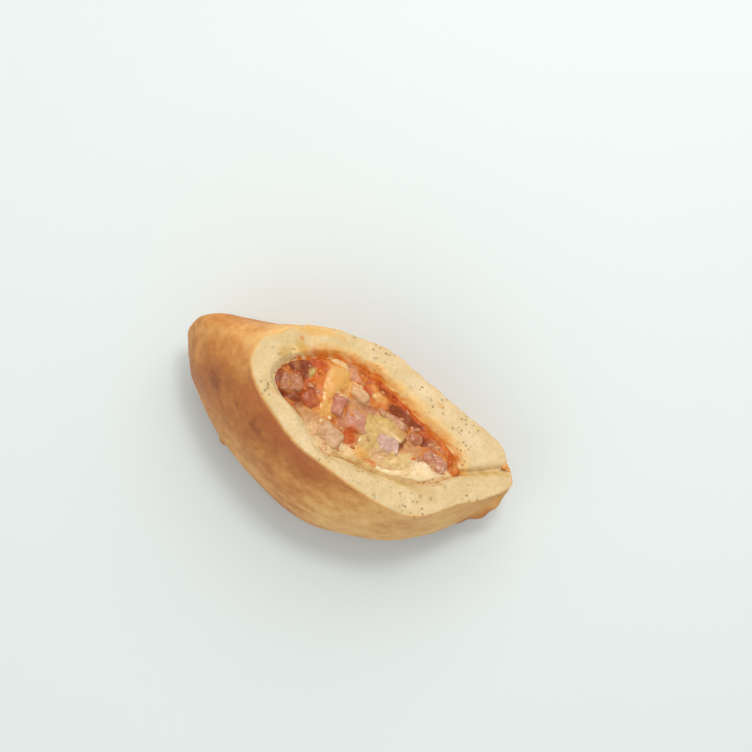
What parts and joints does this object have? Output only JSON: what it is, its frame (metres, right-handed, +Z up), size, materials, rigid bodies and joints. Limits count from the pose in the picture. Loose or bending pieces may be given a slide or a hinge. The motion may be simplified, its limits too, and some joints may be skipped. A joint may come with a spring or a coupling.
{
  "type": "calzone half",
  "caption": "Half of a baked calzone resting on its rounded end, cut face up, showing ham, melted cheese and tomato sauce inside the folded dough.",
  "frame": {"origin": "on the surface the half rests on, straight under the middle of its bounding box", "axes": "+Z up out of the surface; +X along the length, from the closed fold on the left to the sealed edge on the right; +Y towards the side that was baked on the tray"},
  "size_m": [0.1459, 0.101, 0.0777],
  "materials": {
    "crust": "baked dough: dry and matt, golden to brown outside, cream crumb on the cut",
    "ham": "moist cooked ham, pink, lightly glossy",
    "cheese": "melted cheese, yellow, oily sheen",
    "sauce": "thick tomato sauce, orange red to dark red, wet"
  },
  "bodies": {
    "root": {"dough": "crust", "sauce": "sauce", "ham_1": "ham", "ham_2": "ham", "ham_3": "ham", "ham_4": "ham", "ham_5": "ham", "ham_6": "ham", "ham_7": "ham", "ham_8": "ham", "ham_9": "ham", "ham_10": "ham", "ham_11": "ham", "cheese_1": "cheese", "cheese_2": "cheese", "cheese_3": "cheese", "cheese_4": "cheese", "cheese_5": "cheese"}
  },
  "joints": []
}
